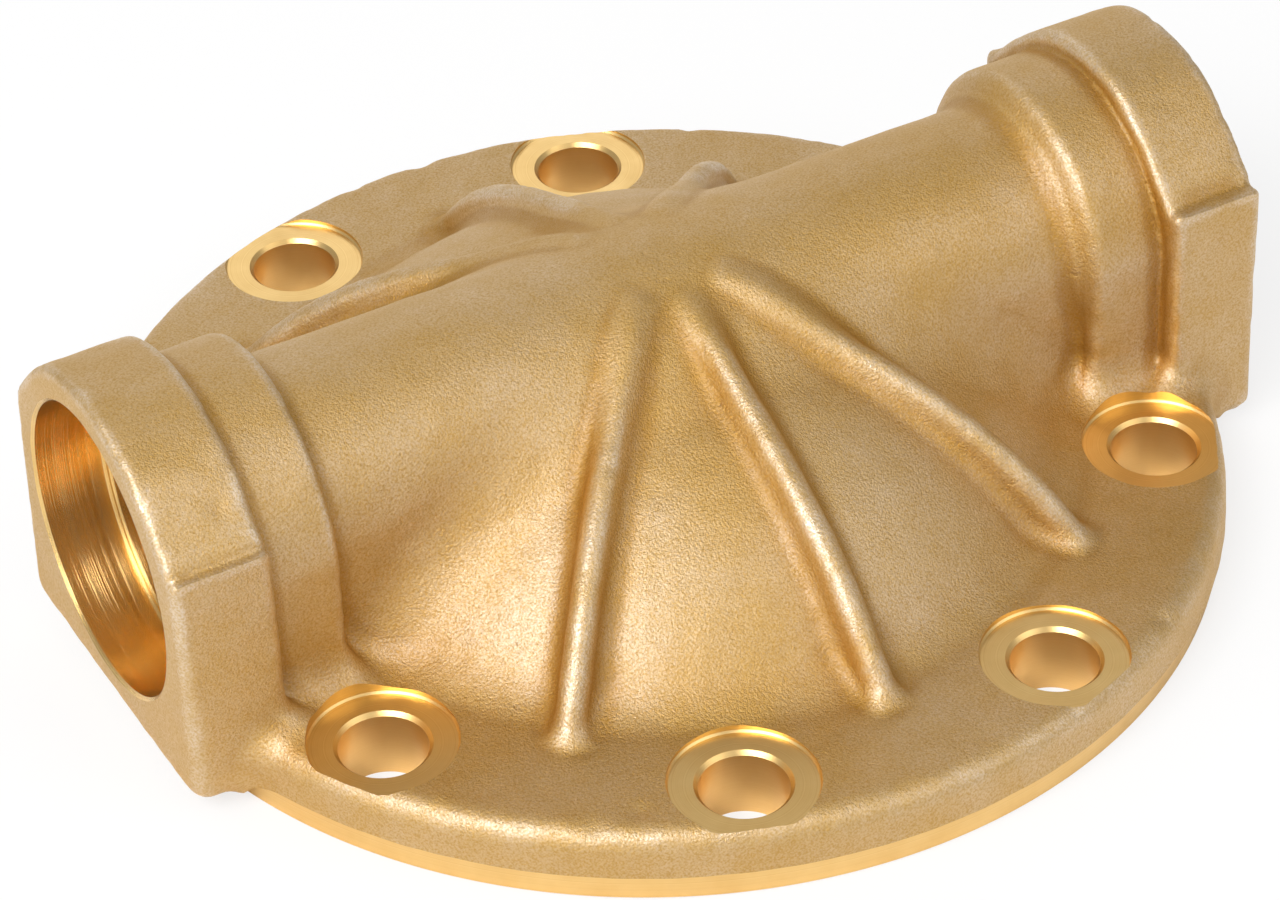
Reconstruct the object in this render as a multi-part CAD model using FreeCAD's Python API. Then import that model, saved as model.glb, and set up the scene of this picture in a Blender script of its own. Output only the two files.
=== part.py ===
import FreeCAD, Part
import math
import os

# Piston pump head: one brass casting, machined on its joint face, bolt holes and port bores.
# The origin is the centre of the flange's underside, X runs along the ports and Z points up.

# Flange, a drafted cast rim above a turned band
flange_height = 10.0
cast_rim_radius = 71.6
cast_rim_draft_deg = 3.0
cast_rim_bevel = 2.0
turned_band_step = 0.7
turned_band_height = 3.85
turned_band_radius = cast_rim_radius - turned_band_step

# Bolt holes, four in front of the tube and four behind it, each with a spot-faced seat
bolt_edge_distance = 9.1
bolt_circle_radius = cast_rim_radius - bolt_edge_distance
bolt_spacing_deg = 40.0
bolt_hole_radius = 5.5
bolt_seat_radius = 9.1
bolt_seat_height = 9.3
bolt_seat_reach = 14.0

# Spherical dome and the pumping chamber under it
dome_apex_height = 37.0
dome_radius = 62.5
chamber_mouth_radius = 43.0
chamber_top_radius = 12.0
chamber_wall = 5.5

# Cross tube
port_axis_height = 25.3
tube_radius = 16.0
tube_root_rounding = 6.0
passage_radius = 11.5

# Where each port boss starts and ends, inside and outside the rim
boss_inset = 9.6
boss_start = cast_rim_radius - boss_inset
port_overhang = 3.4
port_face_distance = cast_rim_radius + port_overhang

# Collar between tube and port boss
collar_length = 9.6
collar_start = boss_start - collar_length
collar_radius = 19.8
collar_bevel = 2.0
collar_root_rounding = 3.5

# Port bosses: an arched roof with sloping shoulders over a drafted block, stepped at the parting line
parting_half_width = 21.9
parting_height = 35.5
shoulder_facet_width = 7.3
shoulder_facet_height = 7.6
shoulder_half_width = parting_half_width - shoulder_facet_width
shoulder_height = parting_height + shoulder_facet_height
shoulder_rounding = 4.0
roof_rise = 4.4
roof_height = shoulder_height + roof_rise
parting_step = 0.5
eaves_rounding = 1.5
block_foot_half_width = 24.0
block_foot_height = 2.2
block_foot_bevel = 1.5
boss_rim_bevel = 1.2

# Port bores, each with a shallow seat behind it
port_bore_radius = 18.5
port_bore_depth = 9.0
port_bore_chamfer = 0.4
port_seat_radius = 17.2
port_seat_depth = 17.0

# Stiffening ribs, three on each side of the tube, with crests in straight runs that end inside the flange
rib_spacing_deg = 40.0
rib_crest_rounding = 2.1
rib_draft_deg = 8.0
rib_depth = 9.0
rib_inner_radius = 4.0
rib_inner_height = 40.6
rib_upper_radius = 31.0
rib_upper_height = 31.0
rib_lower_radius = 46.0
rib_lower_height = 21.4
rib_toe_radius = 53.0
rib_toe_height = 14.9
rib_end_radius = 58.6
rib_end_height = 7.5

# How far a piece runs into its neighbour before they are joined, and a cutter past the face that it opens
overlap = 1.0

tolerance = 1e-3
origin = FreeCAD.Vector(0, 0, 0)
along = FreeCAD.Vector(1, 0, 0)
across = FreeCAD.Vector(0, 1, 0)
up = FreeCAD.Vector(0, 0, 1)
sides = (-1, 1)


def at(x, y, z):
    return FreeCAD.Vector(x, y, z)


def lines(points):
    return [Part.LineSegment(a, b).toShape() for a, b in zip(points, points[1:])]


def arc(a, middle, b):
    return Part.Arc(a, middle, b).toShape()


def prism(edges, length):
    """Solid from a closed outline, drawn out along X."""
    return Part.Face(Part.Wire(edges)).extrude(along * length)


def turned(points, axis_point, axis):
    """Solid turned about an axis from a closed outline of straight lines."""
    return Part.Face(Part.Wire(lines(points + points[:1]))).revolve(axis_point, axis, 360)


def edges_where(shape, test):
    """Edges whose bounding box passes a test."""
    return [edge for edge in shape.Edges if test(edge.BoundBox)]


def flange():
    bevel_start = flange_height - cast_rim_bevel
    draft = math.radians(cast_rim_draft_deg)
    side_radius = cast_rim_radius - (bevel_start - turned_band_height) * math.tan(draft)
    return turned([
        origin,
        at(0, 0, flange_height),
        at(side_radius - cast_rim_bevel, 0, flange_height),
        at(side_radius, 0, bevel_start),
        at(cast_rim_radius, 0, turned_band_height),
        at(turned_band_radius, 0, turned_band_height),
        at(turned_band_radius, 0, 0),
    ], origin, up)


def dome():
    ball = Part.makeSphere(dome_radius, at(0, 0, dome_apex_height - dome_radius))
    return ball.common(Part.makeCylinder(bolt_circle_radius, dome_apex_height))


def arched_bar(radius, start, end):
    """Bar along X with a half round top on the port axis and upright sides down into the flange."""
    floor = flange_height - overlap
    front = at(start, -radius, port_axis_height)
    behind = at(start, radius, port_axis_height)
    top = at(start, 0, port_axis_height + radius)
    sides_and_floor = lines([front, at(start, -radius, floor), at(start, radius, floor), behind])
    return prism([arc(behind, top, front)] + sides_and_floor, end - start)


def tube_on_dome():
    """Flange, dome and cross tube in one, with the cast rounding along both roots of the tube."""
    reach = boss_start + overlap
    body = flange().fuse([dome(), arched_bar(tube_radius, -reach, reach)]).removeSplitter()

    def is_root(b):
        on_side = b.YLength < tolerance and abs(abs(b.YMin) - tube_radius) < tolerance
        below_axis = flange_height - tolerance < b.ZMin < port_axis_height - tolerance
        over_top = min(b.YLength, b.ZLength) > tolerance and b.ZMin > port_axis_height - tolerance
        return b.XLength > tolerance and (on_side and below_axis or over_top)

    return body.makeFillet(tube_root_rounding, edges_where(body, is_root))


def collar(side):
    """Thicker stretch of the tube behind a port boss, with a bevelled inner edge and a cast root."""
    start = side * collar_start
    end = side * (boss_start + overlap)
    bar = arched_bar(collar_radius, start, end)

    def is_inner_rim(b):
        return b.XLength < tolerance and abs(b.XMin - start) < tolerance and b.ZMax > flange_height

    bar = bar.makeChamfer(collar_bevel, edges_where(bar, is_inner_rim))
    body = flange().fuse(bar).removeSplitter()

    def is_root(b):
        level = b.ZLength < tolerance and abs(b.ZMin - flange_height) < tolerance
        at_end = b.XLength < tolerance and abs(b.XMin - end) < tolerance
        return level and max(abs(b.XMin), abs(b.XMax)) < abs(end) + tolerance and not at_end

    return body.makeFillet(collar_root_rounding, edges_where(body, is_root))


def boss_roof(start, length):
    """Upper half of a port boss, rounded along its shoulders and eaves and bevelled round its face."""
    right = [at(start, shoulder_half_width, shoulder_height),
             at(start, parting_half_width, parting_height),
             at(start, parting_half_width, port_axis_height)]
    left = [at(p.x, -p.y, p.z) for p in right]
    roof = prism([arc(left[0], at(start, 0, roof_height), right[0])] + lines(right + left[::-1]), length)
    for height, rounding in ((shoulder_height, shoulder_rounding), (parting_height, eaves_rounding)):
        along_port = edges_where(
            roof, lambda b: b.XLength > tolerance and abs(b.ZMin - height) + b.ZLength < tolerance)
        roof = roof.makeFillet(rounding, along_port)

    def is_rim(b):
        on_face = b.XLength < tolerance and abs(b.XMin - start - length) < tolerance
        return on_face and b.ZMax > port_axis_height + tolerance

    return roof.makeChamfer(boss_rim_bevel, edges_where(roof, is_rim))


def boss_block(start, length):
    """Lower half of a port boss, with drafted sides that stand out from the roof by the parting step."""
    top = at(start, parting_half_width + parting_step, parting_height)
    foot = at(start, block_foot_half_width, block_foot_height)
    block = prism(lines([top, foot, at(start, -foot.y, foot.z), at(start, -top.y, top.z), top]), length)
    block = block.makeChamfer(block_foot_bevel, edges_where(
        block, lambda b: b.XLength > tolerance and b.ZMax < block_foot_height + tolerance))

    def is_upright(b):
        on_face = b.XLength < tolerance and abs(b.XMin - start - length) < tolerance
        return on_face and b.ZLength > tolerance

    return block.makeChamfer(boss_rim_bevel, edges_where(block, is_upright))


def port_boss(side):
    start = side * boss_start
    length = side * (port_face_distance - boss_start)
    return boss_roof(start, length).fuse(boss_block(start, length)).removeSplitter()


def rib_section(top, lift):
    """Outline across a rib: round crest and two drafted flanks down to the rib's depth."""
    draft = math.radians(rib_draft_deg)
    centre = top - lift * rib_crest_rounding
    brow = lift * (rib_crest_rounding * math.sin(draft))
    fall = lift * (rib_depth - rib_crest_rounding)
    half_width = across * (rib_crest_rounding * math.cos(draft))
    half_foot = half_width + across * ((fall + brow).Length * math.tan(draft))
    right = [centre + half_width + brow, centre + half_foot - fall]
    left = [centre - half_foot - fall, centre - half_width + brow]
    return Part.Wire([arc(left[1], top, right[0])] + lines(right + left))


def rib(bearing):
    """Rib swept along its crest line, which dives into the flange at its outer end."""
    crest = [at(rib_inner_radius, 0, rib_inner_height),
             at(rib_upper_radius, 0, rib_upper_height),
             at(rib_lower_radius, 0, rib_lower_height),
             at(rib_toe_radius, 0, rib_toe_height),
             at(rib_end_radius, 0, rib_end_height)]
    lift = across.cross(crest[0] - crest[1]).normalize()
    mitred = 1
    solid = Part.Wire(lines(crest)).makePipeShell([rib_section(crest[0], lift)], True, False, mitred)
    solid.rotate(origin, up, bearing)
    return solid


def chamber_roof(radius):
    """Height of the chamber's roof, one wall inside the dome."""
    return dome_apex_height - dome_radius + math.sqrt((dome_radius - chamber_wall) ** 2 - radius ** 2)


def pumping_chamber():
    """Hollow under the dome: a straight mouth in the joint face and a conical roof with a flat top."""
    top = chamber_roof(chamber_top_radius)
    return turned([
        at(0, 0, -overlap),
        at(0, 0, top),
        at(chamber_top_radius, 0, top),
        at(chamber_mouth_radius, 0, chamber_roof(chamber_mouth_radius)),
        at(chamber_mouth_radius, 0, -overlap),
    ], origin, up)


def port_bore(side):
    """Stepped bore from a port face through to the chamber: chamfer, bore, seat and passage."""
    steps = [
        (port_face_distance + overlap, 0),
        (port_face_distance + overlap, port_bore_radius + port_bore_chamfer + overlap),
        (port_face_distance - port_bore_chamfer, port_bore_radius),
        (port_face_distance - port_bore_depth, port_bore_radius),
        (port_face_distance - port_bore_depth, port_seat_radius),
        (port_face_distance - port_seat_depth, port_seat_radius),
        (port_face_distance - port_seat_depth, passage_radius),
        (0, passage_radius),
        (0, 0),
    ]
    outline = [at(side * x, 0, port_axis_height + radius) for x, radius in steps]
    return turned(outline, at(0, 0, port_axis_height), along)


def bolt_hole(bearing):
    """Clearance hole with a spot-faced seat above it."""
    seat_top = bolt_seat_height + bolt_seat_reach
    axis_point = at(bolt_circle_radius, 0, 0)
    cutter = turned([
        axis_point - up * overlap,
        axis_point + at(bolt_hole_radius, 0, -overlap),
        axis_point + at(bolt_hole_radius, 0, bolt_seat_height),
        axis_point + at(bolt_seat_radius, 0, bolt_seat_height),
        axis_point + at(bolt_seat_radius, 0, seat_top),
        axis_point + up * seat_top,
    ], axis_point, up)
    cutter.rotate(origin, up, bearing)
    return cutter


def bearings(spacing, count):
    """Evenly spaced bearings centred in front of the tube, and the same behind it."""
    steps = [step - (count - 1) / 2 for step in range(count)]
    return [centre + spacing * step for centre in (270, 90) for step in steps]


pump_head = tube_on_dome()
for side in sides:
    pump_head = pump_head.fuse([collar(side), port_boss(side)]).removeSplitter()
for bearing in bearings(rib_spacing_deg, 3):
    pump_head = pump_head.fuse(rib(bearing))
pump_head = pump_head.removeSplitter().cut(pumping_chamber())
for side in sides:
    pump_head = pump_head.cut(port_bore(side))
for bearing in bearings(bolt_spacing_deg, 4):
    pump_head = pump_head.cut(bolt_hole(bearing))

os.makedirs("parts", exist_ok=True)
pump_head.removeSplitter().Solids[0].exportStep("parts/pump_head.step")
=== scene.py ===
import math

import bpy
import numpy as np
from mathutils import Matrix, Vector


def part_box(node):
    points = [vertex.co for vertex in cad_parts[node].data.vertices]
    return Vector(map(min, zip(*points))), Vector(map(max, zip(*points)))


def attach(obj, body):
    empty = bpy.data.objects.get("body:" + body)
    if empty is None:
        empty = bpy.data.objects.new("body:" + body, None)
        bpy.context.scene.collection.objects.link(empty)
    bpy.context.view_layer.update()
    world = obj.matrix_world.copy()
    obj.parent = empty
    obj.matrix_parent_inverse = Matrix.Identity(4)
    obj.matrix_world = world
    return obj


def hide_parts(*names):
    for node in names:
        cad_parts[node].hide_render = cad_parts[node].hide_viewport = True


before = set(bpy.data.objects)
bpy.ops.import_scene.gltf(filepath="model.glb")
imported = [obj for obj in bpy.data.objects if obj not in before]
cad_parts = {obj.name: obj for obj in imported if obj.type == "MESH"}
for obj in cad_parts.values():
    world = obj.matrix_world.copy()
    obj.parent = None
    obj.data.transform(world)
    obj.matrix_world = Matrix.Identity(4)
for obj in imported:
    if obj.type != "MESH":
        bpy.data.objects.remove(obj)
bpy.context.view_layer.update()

bl_info = {
    "name": "Pump head casting",
    "version": (1, 0, 0),
    "blender": (4, 5, 0),
    "location": "3D View > Sidebar > Pump head",
    "description": "Builds a sand-cast brass pump head with its machined faces, its finishes and its studio",
    "category": "Object",
}

MM = 0.001
LOW, HIGH = (np.array(corner, dtype=float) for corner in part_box("pump_head"))

BRASSES = ("cast_brass", "chamber_brass", "seat_brass", "port_brass", "faced_brass")
CAST, CHAMBER, SEAT, PORT, FACED = range(len(BRASSES))

# Places and spans in the casting, from the size that each goes with

ALLOWANCE = 2 * MM                  # metal cast below the joint face, to be faced off
BOSS_OVERLAP = 3 * MM               # how far tube and collar run on inside a boss
CORNER_SPREAD = 6 * MM              # distance over which an upright corner's rounding grows
WORN_SPAN = (-8 * MM, 4 * MM)       # from the port axis: where the worn step root comes in
COLLAR_SPAN = (-6 * MM, 2 * MM)     # from the collar's start: where the root changes along the tube
BOSS_SPAN = (-3 * MM, 2 * MM)       # from the boss's start: the same
HUB_SPAN = (8 * MM, 16 * MM)        # from the middle: where the ribs' root changes at their heads
TOE_SPAN = (28 * MM, 50 * MM)       # from the middle: where it changes toward their noses
LIFT_SPAN = (12, 27)                # from the middle, in millimetres: where the lift of a crest runs out
BACK_STEP = 0.3                     # share of the parting step on the far side of a boss
PARTING_ROUNDINGS = (1.2 * MM, 0.3 * MM)    # edge of the parting step, on the far and on the near side

# Spacings of the skin's unevenness

SWELL_SPACING = 22 * MM
RIPPLE_SPACING = 4.5 * MM
CHIP_SPACING = 2.6 * MM
CHIP_PATCHES = 6 * MM

# Machining details: how far cutters reach past the casting, and reliefs in inner corners

CUT_PAST = 4 * MM
SEAT_TOP = 26 * MM
PORT_PAST = 3 * MM
SEAT_RELIEF = 0.25 * MM
BORE_RELIEF = 0.3 * MM

# What is measured at each vertex for the finish: name, sign, reach and full value of the roundness

SKIN_MEASURES = (("hollow", -1, 2.4 * MM, 0.34 * MM), ("edge", 1, 1.6 * MM, 0.3 * MM))

# Patterns in the finish: spacings, and heights of the bumps

CLOUD_SPACING = 26 * MM
PATCH_SPACING = 6 * MM
PIT_SPACING = 2.6 * MM
RING_SPACING = 0.18 * MM
BROAD_RING_SPACING = 2.2 * MM
GRAIN_HEIGHT = 0.2 * MM
GLINT_HEIGHT = 0.08 * MM
PEEL_HEIGHT = 0.04 * MM
PIT_DEPTH = 0.12 * MM
SEAT_RING_HEIGHT = 0.012 * MM
PORT_RING_HEIGHT = 0.035 * MM
FACED_RING_HEIGHT = 0.03 * MM
# Painted light: paler brass painted on the bolt holes' walls, standing for light reflected in the hole
HOLE_PAINTED_LIGHT = (0.93, 0.68, 0.34)

# Studio: each light's name, place, size and power, and the fitted camera

LIGHTS = (
    ("key", (-0.70, -0.40, 0.91), (0.8, 0.5), 11.5),
    ("fill", (0.56, -0.77, 0.76), (0.9, 0.7), 3.0),
    ("side", (-1.12, -0.28, 0.42), (0.5, 0.4), 2.0),
    ("rim", (0.27, 1.02, 0.58), (1.4, 0.5), 2.6),
)
LIGHT_TARGET = (0, 0, 0.02)
FLOOR_HALF = 3.0
SENSOR_WIDTH = 36.0
LENS = 136.716
CLIP = (0.05, 20.0)
VIEW_ANGLES = (-28.415, 38.717, -1.592)
EYE = (-227.814, -417.284, 390.664)


def length(name, value, text):
    """Length property with its default given in millimetres."""
    return bpy.props.FloatProperty(name=name, description=text, default=value * MM, min=0.0, unit="LENGTH", precision=5)


def colour(name, value, text):
    """Colour property with its default given as linear red, green and blue."""
    return bpy.props.FloatVectorProperty(
        name=name, description=text, default=value, min=0.0, max=1.0, size=3, subtype="COLOR")


def share(name, value, text):
    """Property between nothing and one."""
    return bpy.props.FloatProperty(name=name, description=text, default=value, min=0.0, max=1.0, subtype="FACTOR")


class CastingSizes(bpy.types.PropertyGroup):
    """Sizes of the casting before it is machined."""
    flange_height: length("Flange height", 10.0, "Joint face to the cast top of the flange")
    rim_radius: length("Rim radius", 71.5, "Flange radius at the foot of its cast rim")
    rim_rounding: length("Rim rounding", 2.7, "Rounding between rim and flange top")
    rim_draft: bpy.props.FloatProperty(
        name="Rim draft", description="Draft of the cast rim", default=math.radians(3.0), unit="ROTATION")
    dome_height: length("Dome height", 35.2, "Top of the sphere that the dome is part of")
    dome_radius: length("Dome radius", 63.5, "Radius of the dome's sphere")
    dome_root: length("Dome root", 3.6, "Rounding at the dome's foot")
    axis_height: length("Port axis height", 25.3, "Joint face to the axis of both ports")
    tube_radius: length("Tube radius", 16.0, "Radius of the cross tube")
    tube_root: length("Tube root", 7.0, "Rounding between tube, dome and flange")
    tube_draft: bpy.props.FloatProperty(
        name="Tube draft", description="Draft of the tube below the port axis",
        default=math.radians(4.0), unit="ROTATION")
    collar_draft: bpy.props.FloatProperty(
        name="Collar draft", description="Draft of the collar's flanks", default=math.radians(1.2), unit="ROTATION")
    collar_half_width: length("Collar half width", 19.62, "Middle to the collar's flanks at the port axis")
    collar_radius: length("Collar radius", 19.8, "Radius of the thicker tube behind each boss")
    collar_start: length("Collar start", 52.4, "Where the collar starts along the tube")
    collar_rounding: length("Collar rounding", 1.1, "Rounding of the left collar's inner edge")
    worn_rounding: length("Worn rounding", 1.7, "Rounding of the right collar's worn inner edge")
    collar_root: length("Collar root", 6.0, "Rounding between collar and flange")
    step_root: length("Step root", 1.4, "Rounding in the corner between tube and collar")
    worn_step_root: length("Worn step root", 4.0, "Rounding over the top between tube and right collar")
    foot_root: length("Foot root", 6.5, "Rounding that the upright corners grow to, away from them")
    boss_start: length("Boss start", 62.2, "Inner face of each port boss")
    boss_inner_rounding: length("Boss inner rounding", 1.3, "Rounding of the boss's inner edge")
    boss_rim_rounding: length("Boss rim rounding", 1.2, "Rounding of the edge round each port face")
    foot_rim_rounding: length("Foot rim rounding", 2.4, "Rounding of the port face's edge at the boss's foot")
    boss_root: length("Boss root", 3.6, "Rounding between boss and flange")
    groove_root: length("Groove root", 0.5, "Rounding in the corner between collar and boss")
    roof_radius: length("Roof radius", 26.42, "Radius across the boss's roof")
    shoulder_half_width: length("Shoulder half width", 14.6, "Middle to the boss's shoulder")
    shoulder_height: length("Shoulder height", 43.1, "Joint face to the boss's shoulder")
    soft_shoulder: length("Soft shoulder", 4.0, "Rounding along the right boss's shoulder")
    crisp_shoulder: length("Crisp shoulder", 0.8, "Rounding along the left boss's shoulder")
    eaves_half_width: length("Eaves half width", 21.7, "Half width of the boss just above its parting line")
    eaves_rounding: length("Eaves rounding", 1.5, "Rounding under the boss's sloping shoulder")
    parting_height: length("Parting height", 35.5, "Joint face to the parting line on the boss")
    parting_step: length("Parting step", 0.8, "How far the lower boss stands out at the parting line")
    foot_half_width: length("Foot half width", 24.0, "Half width of the boss at its foot")
    foot_height: length("Foot height", 2.2, "Joint face to the underside of the boss")
    foot_rounding: length("Foot rounding", 3.4, "Rounding along the left boss's foot")
    right_foot_rounding: length("Right foot rounding", 1.6, "Rounding along the right boss's foot")
    rib_rounding: length("Rib rounding", 1.85, "Rounding across a rib's crest")
    rib_root: length("Rib root", 2.3, "Rounding between rib and dome")
    toe_root: length("Toe root", 2.2, "Rounding between rib and dome near the rib's nose")
    hub_root: length("Hub root", 1.5, "Rounding where the ribs run out on the tube")
    middle_rib_lift: length("Middle rib lift", 0.3, "Rise of the middle ribs' crests on the tube")
    side_rib_lift: length("Side rib lift", 1.3, "Rise of the side ribs' crests on the tube")
    rib_start: length("Rib start", 8.0, "Where a rib's head starts, from the middle")
    rib_end: length("Rib end", 57.4, "Where a rib's nose ends, from the middle")
    rib_draft: bpy.props.FloatProperty(
        name="Rib draft", description="Draft of a rib's flanks", default=math.radians(5.0), unit="ROTATION")
    rib_spacing: bpy.props.FloatProperty(
        name="Rib spacing", description="Angle between neighbouring ribs", default=math.radians(40.0), unit="ROTATION")
    cell: length("Cell", 0.68, "Spacing of the grid that the skin is worked out on")
    swell: length("Swell", 0.05, "Height of the casting's long unevenness")
    ripple: length("Ripple", 0.02, "Height of the casting's short unevenness")
    wear: length("Wear", 0.1, "Depth of the small chips along worn edges")


class MachiningSizes(bpy.types.PropertyGroup):
    """Sizes of what is cut into the casting."""
    band_radius: length("Band radius", 70.9, "Radius of the turned band under the rim")
    band_height: length("Band height", 3.85, "Height of the turned band")
    bolt_circle: length("Bolt circle radius", 62.5, "Middle to the bolt holes' axes")
    bolt_radius: length("Bolt hole radius", 5.4, "Radius of a bolt hole")
    seat_radius: length("Seat radius", 9.1, "Radius of a bolt seat")
    seat_height: length("Seat height", 9.3, "Joint face to the bolt seats")
    bolt_edge: length("Bolt edge", 0.5, "Chamfer of the bolt holes")
    edge_break: length("Edge break", 0.4, "Chamfer of the bores and the chamber's mouth")
    bore_radius: length("Bore radius", 18.5, "Radius of a port bore")
    bore_depth: length("Bore depth", 9.0, "Depth of a port bore")
    ledge_radius: length("Ledge radius", 17.2, "Radius of the shallow seat behind a bore")
    ledge_depth: length("Ledge depth", 17.0, "Port face to the end of the shallow seat")
    passage_radius: length("Passage radius", 11.5, "Radius of the passage into the chamber")
    chamber_radius: length("Chamber radius", 43.0, "Radius of the chamber's mouth")
    chamber_wall: length("Chamber wall", 5.5, "Wall between chamber and dome")


class FinishSettings(bpy.types.PropertyGroup):
    """Colours and grain of the brass."""
    cast: colour("Cast", (0.6, 0.36, 0.085), "Blasted cast skin")
    # Dark bronze patina of hollows and corners; the same colour is also laid into them as painted shade
    patina_and_shade: colour("Recess", (0.46, 0.24, 0.035), "Skin in hollows and corners")
    worn: colour("Worn", (0.66, 0.45, 0.2), "Skin rubbed pale on crests and edges")
    film: colour("Film", (0.95, 0.92, 0.87), "Pale film of worn grains over the cast skin")
    cut: colour("Cut", (0.86, 0.6, 0.25), "Freshly cut brass")
    inside: colour("Inside", (0.50, 0.30, 0.10), "Cast skin inside the chamber")
    grain_size: length("Grain size", 0.34, "Spacing of the blasted grain")
    cast_roughness: share("Cast roughness", 0.52, "Roughness of the cast skin")
    film_roughness: share("Film roughness", 0.36, "Roughness of the pale film")
    cut_roughness: share("Cut roughness", 0.2, "Roughness of cut faces")


class StudioSettings(bpy.types.PropertyGroup):
    """Light and floor."""
    floor: colour("Floor", (0.9, 0.9, 0.9), "Floor under the pump head")
    shadow: share("Shadow", 0.25, "How much of its shading the floor keeps before the camera")
    sky: share("Sky", 0.4, "Strength of the light from all round")


# Casting skin


def rounded(a, b, radius):
    """Distance to what two solids share, with the edge between them rounded: outside the rounding the
    larger distance, inside it the distance to an arc in the two distances."""
    return np.minimum(-radius, np.maximum(a, b)) + np.hypot(np.maximum(a + radius, 0), np.maximum(b + radius, 0))


def filleted(a, b, radius):
    """Distance to two solids joined, with a fillet between them: the smaller distance, less the arc
    where both distances are below the radius."""
    return np.maximum(radius, np.minimum(a, b)) - np.hypot(np.maximum(radius - a, 0), np.maximum(radius - b, 0))


def eased(value, start, end):
    """Smooth step from nothing at start to one at end."""
    t = np.clip((value - start) / (end - start), 0, 1)
    return t * t * (3 - 2 * t)


def spanned(value, place, span):
    """Smooth step over a span about a place."""
    return eased(value, place + span[0], place + span[1])


def flange_distance(s, x, y, z):
    """Drafted disc: radius less the drafted rim radius, rounded into the flat top."""
    run = np.hypot(x, y) - s.rim_radius + (z - s.flange_height / 2) * math.tan(s.rim_draft)
    return rounded(run * math.cos(s.rim_draft), z - s.flange_height, s.rim_rounding)


def dome_distance(s, x, y, z):
    """Sphere about a point below the joint face: distance to that point less the radius."""
    return np.sqrt(x * x + y * y + (z - s.dome_height + s.dome_radius) ** 2) - s.dome_radius


def bar_distance(s, radius, draft, y, z):
    """Bar along X: distance to the port axis less the radius above the axis, drafted sides below it."""
    above = np.hypot(y, np.maximum(z - s.axis_height, 0)) - radius
    below = np.maximum(s.axis_height - z, 0) * math.sin(draft)
    return above - below


def collar_distance(s, x, y, z):
    """Bar of the collar's radius, cut by a flank on each side and rounded into its inner end."""
    rounding = np.where(x > 0, s.worn_rounding, s.collar_rounding)
    flank = np.abs(y) - s.collar_half_width - np.maximum(s.axis_height - z, 0) * math.sin(s.collar_draft)
    bar = np.maximum(bar_distance(s, s.collar_radius, s.collar_draft, y, z), flank)
    return rounded(bar, s.collar_start - np.abs(x), rounding)


def boss_distance(s, x, y, z):
    """Boss drawn along X: roof arc, sloping facet and upright eaves rounded into each other, joined to a
    drafted block below the parting line, and the whole rounded into both end faces."""
    wide = np.abs(y)
    roof_centre = HIGH[2] - s.roof_radius
    roof = np.hypot(y, z - roof_centre) - s.roof_radius
    run = s.eaves_half_width - s.shoulder_half_width
    drop = s.shoulder_height - s.parting_height
    slope = math.hypot(run, drop)
    facet = ((wide - s.shoulder_half_width) * drop + (z - s.shoulder_height) * run) / slope
    shoulder = np.where(x > 0, s.soft_shoulder, s.crisp_shoulder)
    upper = rounded(rounded(roof, facet, shoulder), wide - s.eaves_half_width, s.eaves_rounding)

    step = np.where(y > 0, BACK_STEP, 1.0) * s.parting_step
    spread = s.foot_half_width - s.eaves_half_width - step
    rise = s.parting_height - s.foot_height
    side = wide - s.eaves_half_width - step - (s.parting_height - z) * spread / rise
    lower = rounded(side, z - s.parting_height, np.where(y > 0, *PARTING_ROUNDINGS))
    lower = rounded(lower, s.foot_height - z, np.where(x > 0, s.right_foot_rounding, s.foot_rounding))
    outline = np.minimum(np.maximum(upper, s.foot_height - z), lower)
    low_down = 1 - eased(z, s.foot_height, s.parting_height)
    rim = s.boss_rim_rounding + (s.foot_rim_rounding - s.boss_rim_rounding) * low_down
    outline = rounded(outline, np.abs(x) - HIGH[0], rim)
    return rounded(outline, s.boss_start - np.abs(x), s.boss_inner_rounding)


RIB_CREST = np.array([(0, 37.2), (5, 38.8), (9.6, 39), (13, 38.1), (18, 36.2), (26.5, 32.6), (33, 30.0), (40, 25.7),
                      (47, 20.5), (53, 14.9), (56.5, 10.6), (60, 6)])
RIB_CURVE = np.polyfit(RIB_CREST[:, 0], RIB_CREST[:, 1], 5)
RIB_SLOPE = np.polyder(RIB_CURVE)


def rib_distance(s, x, y, z, bearing, lift):
    """Rib along a bearing: below a crest curve that is a polynomial of the radius, lifted near the middle, the
    distance across to a drafted flank, and over it the distance to a round crest, rounded into nose and head."""
    out = x * math.cos(bearing) + y * math.sin(bearing)
    aside = np.abs(y * math.cos(bearing) - x * math.sin(bearing))
    station = np.clip(out / MM, 0, RIB_CREST[-1, 0])
    crest = np.polyval(RIB_CURVE, station) * MM + lift * (1 - eased(station, *LIFT_SPAN))
    steep = 1 / np.sqrt(1 + np.polyval(RIB_SLOPE, station) ** 2)
    depth = (crest - z) * steep - s.rib_rounding
    draft = s.rib_draft
    flank = aside * math.cos(draft) - depth * math.sin(draft)
    on_flank = aside * math.sin(draft) + depth * math.cos(draft) > 0
    across = np.where(on_flank, flank, np.hypot(aside, depth)) - s.rib_rounding
    return rounded(rounded(across, out - s.rib_end, s.rib_rounding), s.rib_start - out, s.rib_rounding)


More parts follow.
